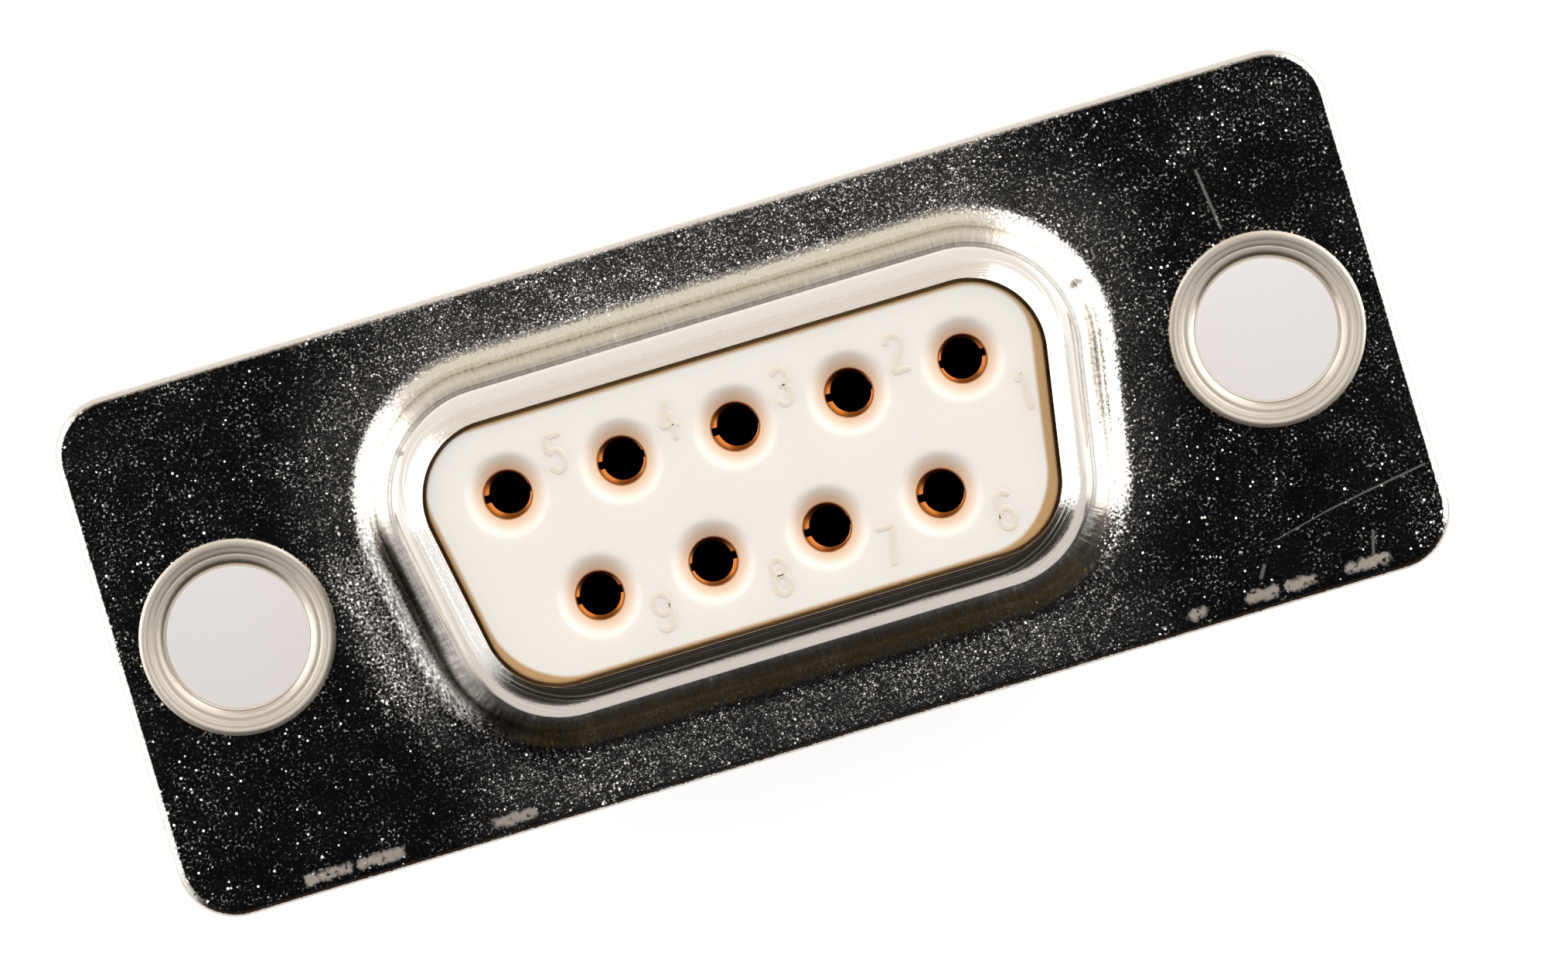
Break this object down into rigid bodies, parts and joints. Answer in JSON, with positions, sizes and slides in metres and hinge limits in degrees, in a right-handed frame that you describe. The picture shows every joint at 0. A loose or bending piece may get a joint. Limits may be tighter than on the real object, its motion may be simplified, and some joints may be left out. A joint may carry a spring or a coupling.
{
  "type": "d-sub connector",
  "caption": "D-sub socket connector for a panel: drawn steel shell with a D-shaped shroud and flange, cream insulator face, sprung sockets with solder cups, and eyeleted mounting holes.",
  "frame": {"origin": "midway between the two mounting holes, on the front of the flange", "axes": "+Z out of the mating face, +X along the flange towards contact 1, +Y from the narrow row to the wide row"},
  "size_m": [0.0308, 0.0126, 0.017],
  "materials": {
    "tinned_steel": "bright tin plate on drawn steel sheet, grainy on the flange and smooth on the drawn wall",
    "nickel_eyelet": "smooth nickel plate on a rolled tubular rivet",
    "cream_polyester": "satin moulded cream polyester",
    "gold_contact": "thin gold over turned copper alloy"
  },
  "bodies": {
    "root": {"front_shell": "tinned_steel", "rear_shell": "tinned_steel", "front_insulator": "cream_polyester", "rear_insulator": "cream_polyester", "contact_1": "gold_contact", "contact_2": "gold_contact", "contact_3": "gold_contact", "contact_4": "gold_contact", "contact_5": "gold_contact", "contact_6": "gold_contact", "contact_7": "gold_contact", "contact_8": "gold_contact", "contact_9": "gold_contact", "eyelet_left": "nickel_eyelet", "eyelet_right": "nickel_eyelet"}
  },
  "joints": []
}
